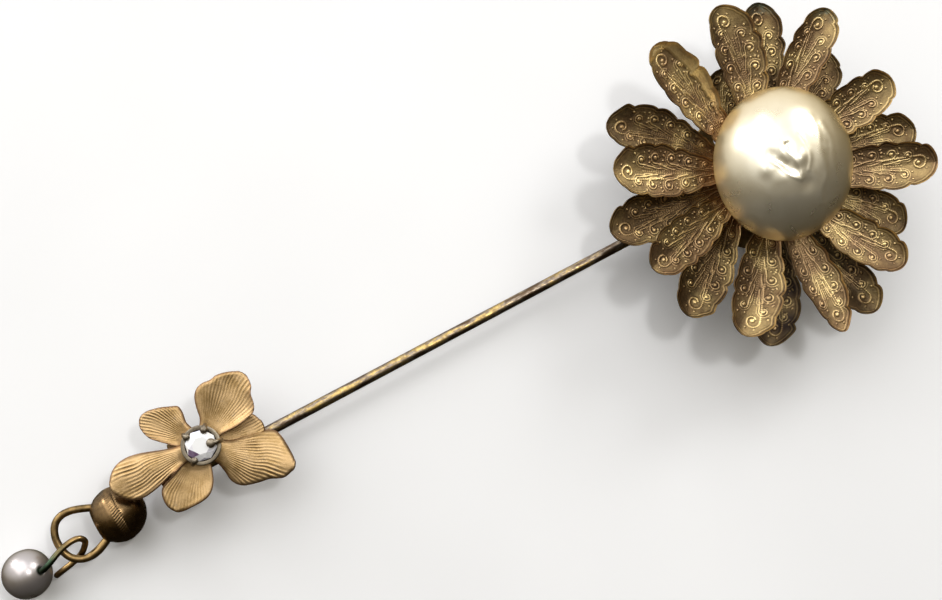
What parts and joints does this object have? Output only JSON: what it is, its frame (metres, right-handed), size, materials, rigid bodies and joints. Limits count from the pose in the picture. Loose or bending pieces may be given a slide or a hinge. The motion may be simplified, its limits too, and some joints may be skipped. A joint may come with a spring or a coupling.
{
  "type": "hat pin",
  "caption": "Hat pin: petalled gilt flower head with a large pearl, a long plain shank, and a slide-off ball clutch with a blossom, ring and drop pearl.",
  "frame": {"origin": "centre of the plain plaque on the back of the flower head, on the plane that the head rests on", "axes": "+X along the shank from the clutch to the head, +Z out of the flower's face, +Y to the left of the shank seen from the face"},
  "size_m": [0.1127, 0.0389, 0.0208],
  "materials": {
    "antique_gilt": "antiqued matte gilt with dark recesses",
    "worn_gilt": "worn and tarnished gilt wire",
    "matte_gilt": "matte warm gilt",
    "dark_brass": "dark antique brass, satin",
    "spring_steel": "plain spring steel",
    "pewter": "grey worn plating",
    "cream_pearl": "cream pearl lacquer over a glass or plastic core",
    "grey_pearl": "silver grey pearl lacquer",
    "clear_stone": "cut and foiled glass"
  },
  "bodies": {
    "head": {"shank": "worn_gilt", "shank_socket": "antique_gilt", "back_plaque": "antique_gilt", "back_plate": "antique_gilt", "lower_rosette": "antique_gilt", "rosette_collar": "antique_gilt", "upper_rosette": "antique_gilt", "head_rivet": "dark_brass", "pearl_cup": "antique_gilt", "head_pearl": "cream_pearl"},
    "grip": {"grip_spring": "spring_steel"},
    "clutch": {"ball_shell_ring_side": "dark_brass", "ball_shell_stem_side": "dark_brass", "clutch_sleeve": "dark_brass", "blossom_bracket": "dark_brass", "blossom_back_layer": "matte_gilt", "blossom_front_layer": "matte_gilt", "blossom_rivet": "dark_brass", "stone_cup": "pewter", "rhinestone": "clear_stone"},
    "ring": {"pull_ring": "dark_brass"},
    "drop": {"drop_eye_pin": "dark_brass", "drop_pearl": "grey_pearl"}
  },
  "joints": [
    {"name": "clutch_slide", "type": "slide", "parent": "head", "child": "grip", "axis": [-1, 0, 0], "range_m": [0, 0.025]},
    {"name": "clutch_spin", "type": "hinge", "parent": "grip", "child": "clutch", "pos_m": [-0.0804, 0.0003, 0.003], "axis": [1, 0, 0], "continuous": true},
    {"name": "ring_swing", "type": "hinge", "parent": "clutch", "child": "ring", "pos_m": [-0.0826, 0, 0.003], "axis": [0, 1, 0], "range_deg": [-35, 35]},
    {"name": "drop_swing", "type": "hinge", "parent": "ring", "child": "drop", "pos_m": [-0.0871, -0.00115, 0.003], "axis": [0.4239, -0.9057, 0], "range_deg": [-50, 20]}
  ]
}
